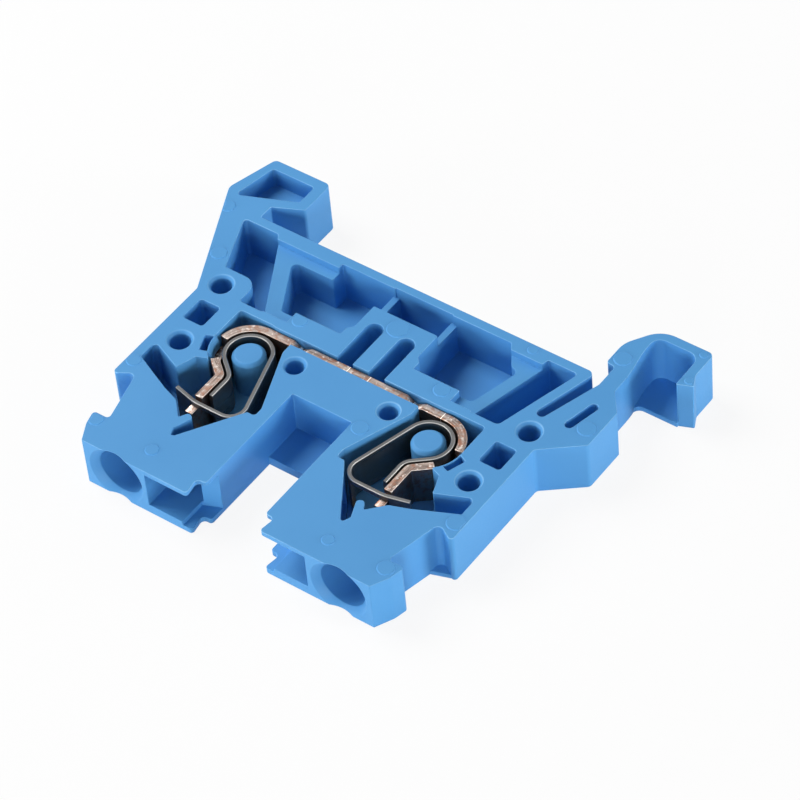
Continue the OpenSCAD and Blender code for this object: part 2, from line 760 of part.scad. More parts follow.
module housing() {
    color("#3f93dc") {
        difference() {
            linear_extrude(block_t)
                polygon(rounded(outline));
            cut(rounded(left_big_pocket), floor_t);
            cut(rounded(middle_pocket), floor_t);
            cut(rounded(right_slant_pocket), floor_t);
            cut(rounded(foot_pocket), foot_floor);
            cut(rounded(arm_pocket), floor_t);
            cut(left_web, block_t - web_drop);
            cut(right_web, block_t - web_drop);
            cut(bar_groove, floor_t);
            clamp_side();
            mirror([1, 0, 0])
                clamp_side();
        }
        clamp_post();
        bar_catch();
        groove_ledge();
        mirror([1, 0, 0]) {
            clamp_post();
            bar_catch();
            groove_ledge();
        }
        gap_floor();
        low_ribs();
        hook_web();
    }
}

// What is cut from each end of the bar: the V notch, the relieved edge beside the post and the tongue's edges
module bar_end_cuts() {
    far = 2 * wall_r;
    relief_mid = (relief_a[0] + relief_a[1]) / 2;
    tongue_top = -clamp_y - limb_tip + tongue_len;
    cut([post, around(far, relief_a[0]), around(far, relief_mid), around(far, relief_a[1])],
        strip_top - relief_d);
    translate([nick_x, bar_y + bar_t, strip_top - nick_d])
        rotate([90, 0, 0])
            linear_extrude(2 * bar_t)
                polygon([[0, 0], [nick_w, 2 * nick_d], [-nick_w, 2 * nick_d]]);
    for (z = [floor_t - past, strip_top - tongue_cut])
        translate([limb_x - bar_t, tongue_top - tongue_len - past, z])
            cube([2 * bar_t, tongue_len + past, tongue_cut + past]);
}

module current_bar() {
    color("#c99a7e")
        difference() {
            translate([0, 0, floor_t])
                linear_extrude(strip_top - floor_t)
                    polygon(strip(bar_line, bar_t));
            bar_end_cuts();
            mirror([1, 0, 0])
                bar_end_cuts();
        }
}

module right_clamp_spring() {
    foot_z = floor_t + spring_lift;
    window_z = [floor_t + tongue_cut - window_play, strip_top - tongue_cut + window_play];
    window_x = [clamp_x + window_in, limb_x + bar_t / 2 + window_play];
    color("#a9a49c")
        difference() {
            translate([0, 0, foot_z])
                linear_extrude(strip_top - foot_z)
                    polygon(strip(spring_line, spring_t));
            translate([window_x[0], -clamp_y - leg_y - bend_r / 2, window_z[0]])
                cube([window_x[1] - window_x[0], bend_r, window_z[1] - window_z[0]]);
        }
}

module left_clamp_spring() {
    mirror([1, 0, 0])
        right_clamp_spring();
}

housing();
current_bar();
left_clamp_spring();
right_clamp_spring();
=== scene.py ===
# %% [markdown]
# # A feed-through terminal block
# The block clips on a mounting rail and joins a wire on its left to a wire on its right. It has four pieces: a blue
# moulded housing that is open on one side, a copper bar, and two springs that press each wire on the bar.
# The solids come from the CAD frame. Here they get their finishes, and the springs are made again as bent strips,
# each in two pieces, since a real spring bends when a clamp opens.

# %% Load the frame
from math import atan2, cos, hypot, pi, radians, sin, tan

import bpy
from mathutils import Matrix, Vector


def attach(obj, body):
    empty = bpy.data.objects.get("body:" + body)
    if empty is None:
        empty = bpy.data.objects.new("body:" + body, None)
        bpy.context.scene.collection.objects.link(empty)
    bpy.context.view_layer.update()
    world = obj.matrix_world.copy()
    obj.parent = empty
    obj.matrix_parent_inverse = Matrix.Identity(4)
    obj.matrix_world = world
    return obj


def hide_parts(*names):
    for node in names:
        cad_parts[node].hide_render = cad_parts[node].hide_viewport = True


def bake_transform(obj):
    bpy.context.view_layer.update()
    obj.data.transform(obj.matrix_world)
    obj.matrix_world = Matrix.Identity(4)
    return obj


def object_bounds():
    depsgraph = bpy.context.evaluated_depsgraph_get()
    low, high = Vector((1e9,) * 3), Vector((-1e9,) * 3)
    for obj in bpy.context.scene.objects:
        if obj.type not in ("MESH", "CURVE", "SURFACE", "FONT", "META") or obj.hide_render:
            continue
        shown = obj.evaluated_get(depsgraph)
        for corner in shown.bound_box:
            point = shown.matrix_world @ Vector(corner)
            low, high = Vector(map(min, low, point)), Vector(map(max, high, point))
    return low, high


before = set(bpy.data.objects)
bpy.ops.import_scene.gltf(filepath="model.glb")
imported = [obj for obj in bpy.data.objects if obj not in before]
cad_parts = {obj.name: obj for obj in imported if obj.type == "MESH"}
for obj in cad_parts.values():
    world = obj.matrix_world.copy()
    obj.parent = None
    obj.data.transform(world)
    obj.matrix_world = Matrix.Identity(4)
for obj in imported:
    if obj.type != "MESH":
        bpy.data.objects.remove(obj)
cad_low, cad_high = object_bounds()
scene = bpy.context.scene
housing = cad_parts["housing"]
current_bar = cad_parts["current_bar"]

# %% [markdown]
# Blender works in metres here, and the block is only 46 mm long. All sizes below are written in millimetres, as a
# maker would read them off a drawing, and one factor turns them into metres.

# %% Millimetres
MM = 0.001


def metres(*lengths):
    """Millimetres as a vector in metres."""
    return Vector([length * MM for length in lengths])


size_mm = [round((high - low) / MM, 2) for low, high in zip(cad_low, cad_high)]
print("CAD box in mm:", size_mm)

# %% [markdown]
# The camera stands where the photographer stood: to the right, in front and high up, with a long lens, so that the
# parallel edges hardly run together. Its three directions are given as vectors, which is exact and needs no angles.
# A camera looks along its own minus Z, so the last column of its matrix is the viewing direction turned round.

# %% Camera
camera_at = metres(147.39, -179.66, 239.48)
camera_right = Vector((0.8078, 0.5854, -0.0698))
camera_up = Vector((-0.3895, 0.6188, 0.6821))
camera_back = camera_right.cross(camera_up)
camera_turn = Matrix((camera_right, camera_up, camera_back)).transposed().to_4x4()

camera = bpy.data.objects.new("camera", bpy.data.cameras.new("camera"))
camera.data.lens = 179.2
camera.data.sensor_width = 36.0
camera.matrix_world = Matrix.Translation(camera_at) @ camera_turn
scene.collection.objects.link(camera)
bpy.context.scene.camera = camera
print("camera distance in mm:", round(camera_at.length / MM))

# %% [markdown]
# Every finish below is a small tree of shader nodes. One function adds a node, sets it up and links what goes into
# it, so that a tree reads from top to bottom like a recipe. Colours are written as sRGB hex codes, as a paint or
# plastics card gives them, and one function turns them into the linear values that a shader wants. A Mix node has
# sockets for each kind of value under the same labels, so those are called by their places, which get names here.

# %% Shader helpers
FACTOR, NUMBER_A, NUMBER_B = 0, 2, 3
COLOUR_A, COLOUR_B, MIXED_COLOUR = 6, 7, 2


def linear(code):
    """An sRGB hex colour as linear red, green, blue and alpha."""
    parts = [int(code[i:i + 2], 16) / 255 for i in (1, 3, 5)]
    return [c / 12.92 if c <= 0.04045 else ((c + 0.055) / 1.055) ** 2.4 for c in parts] + [1.0]


def add(tree, kind, inputs=None, **settings):
    """One node with its settings, its numbers and the sockets that feed it."""
    node = tree.nodes.new("ShaderNode" + kind)
    for name, value in settings.items():
        setattr(node, name, value)
    for socket, value in (inputs or {}).items():
        if isinstance(value, bpy.types.NodeSocket):
            tree.links.new(value, node.inputs[socket])
        else:
            node.inputs[socket].default_value = value
    return node


def new_finish(name):
    """An empty material, its node tree and the place on the object in metres."""
    finish = bpy.data.materials.new(name)
    finish.use_nodes = True
    finish.node_tree.nodes.clear()
    return finish, finish.node_tree, add(finish.node_tree, "TexCoord").outputs["Object"]


def per(size):
    """The texture scale at which one wave of a pattern is so many millimetres long."""
    return 1 / (size * MM)


print("white as linear values:", linear("#ffffff"))

# %% [markdown]
# The housing is polyamide 66, injection moulded in one shot and coloured through. The melt flows unevenly into the
# mould, so the eye sees a plain blue whose tone drifts a little over several millimetres. A painted texture could show
# that, but it needs unwrapping and has seams. Noise that reads the place on the object needs neither.

# %% Moulded polyamide, its colour
plastic, tree, place = new_finish("moulded_polyamide_66")
flow = add(tree, "TexNoise", {"Vector": place, "Scale": per(7), "Detail": 3.0}).outputs["Fac"]
blue = add(
    tree, "Mix", {FACTOR: flow, COLOUR_A: linear("#5097d3"), COLOUR_B: linear("#59a1dc")}, data_type="RGBA"
)
print("finish:", plastic.name)

# %% [markdown]
# The edges of the open side are handled most, and they go paler in patches. They also catch the light as thin pale
# lines, and that highlight is painted into the colour here as well. The edges could be painted on the mesh by hand,
# but here the nodes can find them: every wall stands upright and every face lies flat, so what faces neither way just
# below the top is a rounded edge.

# %% Moulded polyamide, its painted edge highlight and wear
EDGE_Z, EDGE_REACH = 4.96, 0.045
EDGE_TILT, TILT_REACH = 0.55, 0.4


def facing_of(tree):
    """The direction that the surface faces, in X, Y and Z."""
    normal = add(tree, "NewGeometry").outputs["Normal"]
    return add(tree, "SeparateXYZ", {0: normal}).outputs


level = add(tree, "SeparateXYZ", {0: place}).outputs["Z"]
tilted = add(tree, "Math", {0: facing_of(tree)["Z"], 1: EDGE_TILT, 2: TILT_REACH}, operation="COMPARE")
on_top = add(tree, "Math", {0: level, 1: EDGE_Z * MM, 2: EDGE_REACH * MM}, operation="COMPARE")
edge = add(tree, "Math", {0: tilted.outputs[0], 1: on_top.outputs[0]}, operation="MULTIPLY")
highlight_and_wear_patches = add(
    tree, "MapRange", {"Value": flow, "From Min": 0.35, "From Max": 0.65, "To Min": 0.08, "To Max": 0.5}
)
pale = add(tree, "Math", {0: edge.outputs[0], 1: highlight_and_wear_patches.outputs["Result"]}, operation="MULTIPLY")
# Painted highlight and wear: the rounded top edges are mixed towards pale blue, in patches.
highlit_and_worn_blue = add(
    tree, "Mix",
    {FACTOR: pale.outputs[0], COLOUR_A: blue.outputs[MIXED_COLOUR], COLOUR_B: linear("#9fd4f4")},
    data_type="RGBA",
)
print("pale edges from", round(EDGE_Z - EDGE_REACH, 3), "to", round(EDGE_Z + EDGE_REACH, 3), "mm")

# %% [markdown]
# The mould was spark eroded, which leaves a fine even grain: the eye sees a satin skin with a soft, wide gloss and no
# sharp reflections. Real relief would take millions of faces, so a Bump node tilts the light instead. The true grain
# is about 0.05 mm, less than a pixel here, so it is drawn at 0.18 mm to show at all. Broad sink marks of 4 mm lie under
# it. The pits of the grain hide about half of the gloss that a polished skin would have.

# %% Moulded polyamide, its grain and gloss
SINK_SHARE = 6.0
grain = add(tree, "TexNoise", {"Vector": place, "Scale": per(0.18), "Detail": 2.0}).outputs["Fac"]
sink = add(tree, "TexNoise", {"Vector": place, "Scale": per(4), "Detail": 1.0}).outputs["Fac"]
relief = add(tree, "Math", {0: sink, 1: SINK_SHARE, 2: grain}, operation="MULTIPLY_ADD")
bump = add(tree, "Bump", {"Height": relief.outputs[0], "Strength": 1.0, "Distance": 0.004 * MM})
gloss = add(
    tree, "MapRange", {"Value": grain, "From Min": 0.3, "From Max": 0.7, "To Min": 0.44, "To Max": 0.54}
)
skin = add(
    tree, "BsdfPrincipled",
    {
        "Base Color": highlit_and_worn_blue.outputs[MIXED_COLOUR], "Roughness": gloss.outputs["Result"], "IOR": 1.53,
        "Specular IOR Level": 0.25, "Normal": bump.outputs["Normal"],
    },
)
add(tree, "OutputMaterial", {"Surface": skin.outputs["BSDF"]})
print("nodes in", plastic.name, len(tree.nodes))

# %% [markdown]
# A moulded edge is never knife sharp: the tool steel has a tiny radius, and that thin line catches the light. The CAD
# mesh comes as triangles with split corners, so a Weld modifier joins the corners and a Decimate modifier merges the
# triangles of each flat face. A Bevel modifier can then round each edge cleanly, and Weighted Normal keeps the large
# faces flat in the light. All four are modifiers, so the CAD mesh itself stays as it was packed.

# %% Edges of the housing
EDGE_RADIUS = 0.05
WELD_REACH = 0.002
FLAT_ANGLE, HARD_ANGLE = 0.5, 40


def dress(piece, finish):
    """Rounds the hard edges of a CAD piece and gives it a finish."""
    weld = piece.modifiers.new("join_corners", "WELD")
    weld.merge_threshold = WELD_REACH * MM
    merge = piece.modifiers.new("merge_flat_faces", "DECIMATE")
    merge.decimate_type = "DISSOLVE"
    merge.angle_limit = radians(FLAT_ANGLE)
    bevel = piece.modifiers.new("edge_radius", "BEVEL")
    bevel.width = EDGE_RADIUS * MM
    bevel.segments = 2
    bevel.limit_method = "ANGLE"
    bevel.angle_limit = radians(HARD_ANGLE)
    bevel.use_clamp_overlap = False
    flat = piece.modifiers.new("flat_faces", "WEIGHTED_NORMAL")
    flat.weight = 100
    piece.data.materials.clear()
    piece.data.materials.append(finish)


dress(housing, plastic)
print("housing edges rounded by", EDGE_RADIUS, "mm")

# %% [markdown]
# When the mould opens, round steel pins push the part out. Each leaves a faint disc on the open face, a few hundredths
# of a millimetre high, because the pin ends a little short of the mould's wall. A bump could hint at the discs, but
# real faces also show in the exported mesh. Rays cast straight down on the housing find the height of its face, and
# pull a disc's rim in where the face ends before the disc does.

# %% Ejector-pin marks, the face under them
PIN_MARKS = [
    (-18.06, -5.33, 0.75), (-20.89, -0.41, 0.7), (-7.43, -8.08, 0.7), (0.01, -4.51, 1.0), (10.79, -0.57, 0.5),
    (7.09, -8.19, 0.77), (19.43, -5.48, 0.83), (17.57, 2.49, 0.8), (22.89, 6.35, 0.4), (23.44, 3.28, 0.4),
    (-8.88, -26.04, 0.62), (-16.39, -18.96, 0.7), (-14.88, -25.82, 0.7), (3.92, -15.13, 0.77), (8.88, -26.12, 0.57),
    (14.44, -26.0, 0.77), (16.35, -19.27, 0.83),
]
RIM_W = 0.08
RAY_FROM_Z = 20
SAME_LEVEL = 0.01
PULL_IN = 0.04


def height_at(x, y):
    """The height in millimetres of the housing's upper side at a place, or of the floor beside it."""
    hit, spot, _, _ = housing.ray_cast(metres(x, y, RAY_FROM_Z), Vector((0, 0, -1)))
    return spot.z / MM if hit else 0.0


def room(x, y, turn, radius, z):
    """How far the flat face goes on from a place in one direction, at most one radius."""
    while radius > RIM_W:
        reach = radius + RIM_W
        if abs(height_at(x + reach * cos(turn), y + reach * sin(turn)) - z) <= SAME_LEVEL:
            break
        radius -= PULL_IN
    return radius


print("heights under the marks in mm:", sorted({round(height_at(x, y), 2) for x, y, _ in PIN_MARKS}))

# %% [markdown]
# A disc is a fan of flat faces with a sloped rim, and a second fan closes it below, inside the housing. All the discs
# go into one mesh, because they are one feature of one moulding.

# %% Ejector-pin marks, their mesh
MARK_H = 0.07
MARK_STEPS = 32
RIM_FOOT = 0.005


def pin_mark(x, y, radius):
    """Points and faces of one closed low disc with a sloped rim."""
    z = height_at(x, y)
    points = [metres(x, y, z + MARK_H), metres(x, y, z - MARK_H)]
    faces = []
    for i in range(MARK_STEPS):
        turn = 2 * pi * i / MARK_STEPS
        reach = room(x, y, turn, radius, z)
        for out, up in ((reach - RIM_W, MARK_H), (reach, -RIM_FOOT), (reach, -MARK_H)):
            points.append(metres(x + out * cos(turn), y + out * sin(turn), z + up))
        here, there = 2 + 3 * i, 2 + 3 * ((i + 1) % MARK_STEPS)
        faces += [[0, here, there], [here, here + 1, there + 1, there]]
        faces += [[here + 1, here + 2, there + 2, there + 1], [here + 2, 1, there + 2]]
    return points, faces


def new_piece(name, points, faces, finish, smooth=None):
    """A mesh object with one finish, smooth up to an angle where one is given."""
    mesh = bpy.data.meshes.new(name)
    mesh.from_pydata(points, [], faces)
    mesh.materials.append(finish)
    if smooth:
        mesh.shade_smooth()
        mesh.set_sharp_from_angle(angle=radians(smooth))
    piece = bpy.data.objects.new(name, mesh)
    scene.collection.objects.link(piece)
    return piece


mark_points, mark_faces = [], []
for mark in PIN_MARKS:
    points, faces = pin_mark(*mark)
    mark_faces += [[index + len(mark_points) for index in face] for face in faces]
    mark_points += points
pin_marks = new_piece("ejector_pin_marks", mark_points, mark_faces, plastic)
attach(pin_marks, "block")
print("ejector-pin marks:", len(PIN_MARKS), "faces:", len(mark_faces))

# %% [markdown]
# The current bar is cut from bare copper strip and bent on edge round both clamp posts. The shearing die draws lines
# along its upper edge. A straight texture would run across the bends, and unwrapping would change the CAD mesh, so the
# nodes work out how far a place lies across the strip: a distance in Y along the straight middle, a radius round each
# clamp post, and a distance in X along the clamping limb.

# %% Sheared copper strip, the distance across it
POST_X, POST_Y = 9.1, -13.0
BAR_R = 2.8
LIMB_X, LIMB_Y = 9.57, -16.0

copper, tree, place = new_finish("sheared_copper_strip")
spot = add(tree, "SeparateXYZ", {0: place}).outputs
side = add(tree, "Math", {0: spot["X"]}, operation="ABSOLUTE").outputs[0]
plan = add(tree, "CombineXYZ", {"X": side, "Y": spot["Y"]})
from_post = add(tree, "VectorMath", {0: plan.outputs[0], 1: metres(POST_X, POST_Y, 0)}, operation="DISTANCE")
above_post = add(tree, "Math", {0: spot["Y"], 1: POST_Y * MM}, operation="SUBTRACT")
beside_limb = add(tree, "Math", {0: side, 1: (LIMB_X - BAR_R) * MM}, operation="SUBTRACT")
is_bend = add(tree, "Math", {0: side, 1: POST_X * MM}, operation="GREATER_THAN")
is_limb = add(tree, "Math", {0: spot["Y"], 1: LIMB_Y * MM}, operation="LESS_THAN")
on_bar = add(
    tree, "Mix",
    {FACTOR: is_bend.outputs[0], NUMBER_A: above_post.outputs[0], NUMBER_B: from_post.outputs["Value"]},
)
across = add(
    tree, "Mix", {FACTOR: is_limb.outputs[0], NUMBER_A: on_bar.outputs[0], NUMBER_B: beside_limb.outputs[0]}
)
print("finish:", copper.name)

# %% [markdown]
# The lines are noise that is drawn out along the strip, about 0.2 mm wide and 3 mm long. The true ones are finer than a
# pixel, so these are as coarse as they need to be to show. The rolling mill leaves lines on the broad sides as well,
# but smooth ones, so they are faint there and strong on the sheared edge that faces up.

# %% Sheared copper strip, its lines
LINE_W, LINE_L, MILL_W = 0.2, 3, 0.25

slant = add(tree, "Math", {0: spot["X"], 1: spot["Y"]}, operation="SUBTRACT")
line_way = add(tree, "Math", {0: across.outputs[0], 1: per(LINE_W)}, operation="MULTIPLY")
length_way = add(tree, "Math", {0: slant.outputs[0], 1: per(LINE_L)}, operation="MULTIPLY")
mill_way = add(tree, "Math", {0: spot["Z"], 1: per(MILL_W)}, operation="MULTIPLY")
drawn_out = add(
    tree, "CombineXYZ", {"X": line_way.outputs[0], "Y": length_way.outputs[0], "Z": mill_way.outputs[0]}
)
streak = add(
    tree, "TexNoise", {"Vector": drawn_out.outputs[0], "Scale": 1.0, "Detail": 4.0, "Roughness": 0.6}
).outputs["Fac"]
facing = facing_of(tree)
upward = add(tree, "Math", {0: facing["Z"]}, operation="ABSOLUTE").outputs[0]
faint = add(tree, "MapRange", {"Value": streak, "To Min": 0.44, "To Max": 0.54})
lines = add(tree, "Mix", {FACTOR: upward, NUMBER_A: faint.outputs["Result"], NUMBER_B: streak}).outputs[0]
print("lines in mm, wide and long:", LINE_W, LINE_L)

# %% [markdown]
# The lines run from torn and brown to pale, and air has stained the copper in spots. Small flecks on the edge that
# faces up, the slopes of the pressed notches and three thin lines across the strip are painted nearly white: they are
# painted glints, standing in for light that burrs and bright facets catch. Each of these is one more colour that is
# laid over the last by its own mask, as a painter glazes one coat over another.

# %% Sheared copper strip, its colours
GLINT_LINES_X = (-0.96, 1.14, 8.61)
GLINT_LINE_HALF = 0.035
SLOPE_X, SLOPE_REACH = 0.5, 0.2

tone = add(tree, "MapRange", {"Value": lines, "From Min": 0.36, "From Max": 0.64})
band = add(
    tree, "Mix",
    {FACTOR: tone.outputs["Result"], COLOUR_A: linear("#62524b"), COLOUR_B: linear("#b9aba2")},
    data_type="RGBA",
)
speck = add(tree, "TexNoise", {"Vector": place, "Scale": per(0.4), "Detail": 3.0}).outputs["Fac"]
stain = add(tree, "MapRange", {"Value": speck, "From Min": 0.47, "From Max": 0.64, "To Max": 0.7})
# Painted glints: white flecks where a noise peaks, and the notch slopes, on the faces that look up.
fleck = add(tree, "TexNoise", {"Vector": place, "Scale": per(0.3), "Detail": 2.0}).outputs["Fac"]
glint_flecks = add(tree, "MapRange", {"Value": fleck, "From Min": 0.58, "From Max": 0.7, "To Max": 0.6})
slope = add(tree, "Math", {0: facing["X"], 1: SLOPE_X, 2: SLOPE_REACH}, operation="COMPARE")
bright = add(tree, "Math", {0: glint_flecks.outputs["Result"], 1: slope.outputs[0]}, operation="MAXIMUM")
glint = add(tree, "Math", {0: bright.outputs[0], 1: upward}, operation="MULTIPLY")
coats = [(stain.outputs["Result"], "#94624a"), (glint.outputs[0], "#f4ece4")]
# Painted glints: thin white lines across the strip at three places along X.
for glint_line_x in GLINT_LINES_X:
    on_glint_line = add(tree, "Math", {0: spot["X"], 1: glint_line_x * MM, 2: GLINT_LINE_HALF * MM}, operation="COMPARE")
    coats.append((on_glint_line.outputs[0], "#fff3e6"))


def lay_over(tree, colour, coats):
    """A colour with other colours laid over it, each where its mask says."""
    for mask, code in coats:
        coat = add(tree, "Mix", {FACTOR: mask, COLOUR_A: colour, COLOUR_B: linear(code)}, data_type="RGBA")
        colour = coat.outputs[MIXED_COLOUR]
    return colour


copper_colour = lay_over(tree, band.outputs[MIXED_COLOUR], coats)
print("coats on the copper:", len(coats))

# %% [markdown]
# A metal has no colour of its own under its gloss, so its lines show as gloss and relief too: on copper the torn low
# lines are rough and the pale high ones smoother. One function finishes both metals, which differ only in how rough
# and how deep their lines are.

# %% Sheared copper strip, its surface
def finish_metal(tree, colour, lines, rough_low, rough_high, depth):
    """A metal whose roughness goes from one value in its low lines to another in its high ones."""
    rough = add(
        tree, "MapRange",
        {"Value": lines, "From Min": 0.3, "From Max": 0.7, "To Min": rough_low, "To Max": rough_high},
    )
    bump = add(tree, "Bump", {"Height": lines, "Strength": 0.6, "Distance": depth * MM})
    strip = add(
        tree, "BsdfPrincipled",
        {
            "Base Color": colour, "Metallic": 1.0, "Roughness": rough.outputs["Result"],
            "Normal": bump.outputs["Normal"],
        },
    )
    add(tree, "OutputMaterial", {"Surface": strip.outputs["BSDF"]})


finish_metal(tree, copper_colour, lines, rough_low=0.48, rough_high=0.28, depth=0.006)
dress(current_bar, copper)
print("nodes in", copper.name, len(tree.nodes))

# %% [markdown]
# The clamp springs are cold-rolled stainless spring strip, slit from a wide coil. The rolls leave fine lengthwise
# lines on the broad sides, drawn here at 0.15 mm to show at all, so the gloss is drawn out across them. The slit edges
# are torn and grey, and their small chamfered corners get a painted highlight, a pale line where light would catch
# them: the nodes tell the three apart by how far the surface faces up. The forming heat leaves a slight warm tint.

# %% Rolled stainless spring strip
CORNER_TILT, CORNER_REACH = 0.7, 0.22
SLIT_TILT = 0.95

steel, tree, place = new_finish("rolled_stainless_spring_strip")
cloud = add(tree, "TexNoise", {"Vector": place, "Scale": per(1.2), "Detail": 3.0}).outputs["Fac"]
tint = add(
    tree, "Mix", {FACTOR: cloud, COLOUR_A: linear("#84878a"), COLOUR_B: linear("#8f877d")}, data_type="RGBA"
)
upward = add(tree, "Math", {0: facing_of(tree)["Z"]}, operation="ABSOLUTE").outputs[0]
on_slit = add(tree, "Math", {0: upward, 1: SLIT_TILT}, operation="GREATER_THAN")
painted_corner_highlight = add(tree, "Math", {0: upward, 1: CORNER_TILT, 2: CORNER_REACH}, operation="COMPARE")
# Painted highlight: the chamfered corners of the slit edges are mixed towards pale grey.
steel_colour = lay_over(
    tree, tint.outputs[MIXED_COLOUR], [(on_slit.outputs[0], "#686868"), (painted_corner_highlight.outputs[0], "#b6b5b2")]
)
rolling = add(tree, "Mapping", {"Vector": place, "Scale": (per(4), per(4), per(0.15))})
streak = add(tree, "TexNoise", {"Vector": rolling.outputs[0], "Scale": 1.0, "Detail": 3.0}).outputs["Fac"]
finish_metal(tree, steel_colour, streak, rough_low=0.26, rough_high=0.42, depth=0.004)
print("finish:", steel.name, "nodes:", len(tree.nodes))

# %% [markdown]
# A clamp spring is one strip, bent round the post: a short leg lies on the bar and stays there, and a long leg with
# a window pulls the wire against the bar. Its middle line is drawn as a bending drawing gives it: straight runs,
# corners with a radius, and an arc round the post. A curve object could follow it, but plain points also let a window
# be cut later.

# %% Corners and arcs of a spring
SPRING_R = 2.025
ARC_STEP = 5.0


def corner(before, at, after, radius):
    """Points of a rounded corner between two straight runs."""
    u = (Vector(before) - Vector(at)).normalized()
    v = (Vector(after) - Vector(at)).normalized()
    half = u.angle(v) / 2
    centre = Vector(at) + (u + v).normalized() * radius / sin(half)
    start = Vector(at) + u * radius / tan(half) - centre
    turn = (pi - 2 * half) * (1 if u.cross(v) < 0 else -1)
    steps = max(2, round(abs(turn) / radians(ARC_STEP)))
    first = atan2(start.y, start.x)
    angles = [first + turn * i / steps for i in range(steps + 1)]
    return [(centre.x + radius * cos(a), centre.y + radius * sin(a)) for a in angles]


def round_post(from_angle, to_angle):
    """Points of the loop round the post, from one angle to another in degrees."""
    steps = round(abs(to_angle - from_angle) / ARC_STEP)
    angles = [radians(from_angle + (to_angle - from_angle) * i / steps) for i in range(steps + 1)]
    return [(POST_X + SPRING_R * cos(a), POST_Y + SPRING_R * sin(a)) for a in angles]


print("loop radius in mm:", SPRING_R)

# %% [markdown]
# The line is the same one that the CAD solid follows. It is cut at the top of the loop, because the two legs move
# differently. The long leg goes from its tip through a curl and a bend up to the loop, and the short leg leaves the
# loop, kinks once and runs down beside the bar.

# %% Middle lines of the two legs
LEG_ANGLE, LEG_END = 73.5, -50.0
TIP, CURL, BEND = (11.78, -19.15), (9.57, -19.68), (5.009, -19.68)
CURL_R, BEND_R, KINK_R = 3.0, 1.35, 1.275
LEG_X, SHORT_END = 8.795, -18.5

leg_top = round_post(LEG_ANGLE + 90, 90)
leg_down = round_post(90, LEG_END)
leave = leg_down[-1]
kink = (LEG_X, leave[1] + (LEG_X - leave[0]) * tan(radians(LEG_END - 90)))
short_tip = (LEG_X, SHORT_END)
long_leg = [TIP] + corner(TIP, CURL, BEND, CURL_R) + corner(CURL, BEND, leg_top[0], BEND_R) + leg_top
short_leg = leg_down + corner(leave, kink, short_tip, KINK_R) + [short_tip]
runs = [(a, b) for leg in (long_leg, short_leg) for a, b in zip(leg, leg[1:])]
print("strip length of a clamp spring in mm:", round(sum(hypot(b[0] - a[0], b[1] - a[1]) for a, b in runs), 1))

# %% [markdown]
# The strip is swept along that line as rings of twelve points, with a small chamfer on each slit edge. Each ring stands
# square to the line, and in a bend it is a little wider, so that the strip keeps its thickness. The window has to
# start and end at a ring, so two points are added to the line there.

# %% Rings of a strip
SPRING_T = 0.34
FOOT_Z, TOP_Z = 1.0, 4.65
WINDOW_X = (10.045, 6.3)
WINDOW_Z = (1.4, 4.15)
CHAMFER = 0.05


def with_point(line, x):
    """The line with one more point where it first crosses an x."""
    for i, (a, b) in enumerate(zip(line, line[1:])):
        if (a[0] - x) * (b[0] - x) < 0:
            part = (x - a[0]) / (b[0] - a[0])
            return line[:i + 1] + [(x, a[1] + part * (b[1] - a[1]))] + line[i + 1:]
    return line


def sideways(line, i):
    """The direction square to the line at one point, long enough to keep the thickness."""
    runs = [(Vector(b) - Vector(a)).normalized() for a, b in zip(line, line[1:])]
    a, b = runs[max(i - 1, 0)], runs[min(i, len(runs) - 1)]
    middle = Vector((-a.y - b.y, a.x + b.x)).normalized()
    return middle / middle.dot(Vector((-a.y, a.x)))


def ring_section():
    """The twelve points of a ring, each as a distance from the middle line and a height."""
    half = SPRING_T / 2
    front = [(half, z) for z in (FOOT_Z + CHAMFER, *WINDOW_Z, TOP_Z - CHAMFER)]
    back = [(-half, z) for _, z in reversed(front)]
    top = [(half - CHAMFER, TOP_Z), (CHAMFER - half, TOP_Z)]
    foot = [(CHAMFER - half, FOOT_Z), (half - CHAMFER, FOOT_Z)]
    return front + top + back + foot


print("points in a ring:", len(ring_section()))

# %% [markdown]
# Faces join each ring to the next. A Boolean could cut the window, but it leaves ragged faces. Here the middle faces of
# both broad sides are left out where the window is, and its four walls are put in, so that the mesh stays closed.

# %% Sweep a strip
FRONT_LOW, FRONT_HIGH, BACK_HIGH, BACK_LOW = 1, 2, 7, 8
WINDOW_CORNERS = (FRONT_LOW, BACK_LOW, BACK_HIGH, FRONT_HIGH)


def swept_strip(line, mirror, window=None):
    """Points and faces of a strip on edge along a line, with a window between two x where one is given."""
    for x in window or ():
        line = with_point(line, x)
    section = ring_section()
    count, last_ring = len(section), len(line) - 1
    points = []
    for i, (x, y) in enumerate(line):
        out = sideways(line, i)
        points += [metres(mirror * (x + out.x * o), y + out.y * o, z) for o, z in section]
    first, last = [[p[0] for p in line].index(x) for x in window] if window else (0, 0)
    faces = []
    for i in range(last_ring):
        here, there = i * count, (i + 1) * count
        open_here = first <= i < last
        joins = [(k, (k + 1) % count) for k in range(count) if not (open_here and k in (FRONT_LOW, BACK_HIGH))]
        if open_here:
            joins += [(FRONT_LOW, BACK_LOW), (BACK_HIGH, FRONT_HIGH)]
        faces += [[here + k, there + k, there + n, here + n] for k, n in joins]
    if window:
        faces.append([first * count + k for k in WINDOW_CORNERS])
        faces.append([last * count + k for k in reversed(WINDOW_CORNERS)])
    faces += [list(range(count)), [last_ring * count + k for k in reversed(range(count))]]
    return points, [face[::mirror] for face in faces]


print("window in mm, long and high:", round(WINDOW_X[0] - WINDOW_X[1], 2), round(WINDOW_Z[1] - WINDOW_Z[0], 2))

# %% [markdown]
# When a screwdriver opens the clamp, the short leg stays on the bar and the long leg swings out. So each spring is
# two pieces that meet at the top of the loop: the short half rides on the block, and the long half is a piece of its
# own.

# %% Clamp springs
SMOOTH_UP_TO = 30

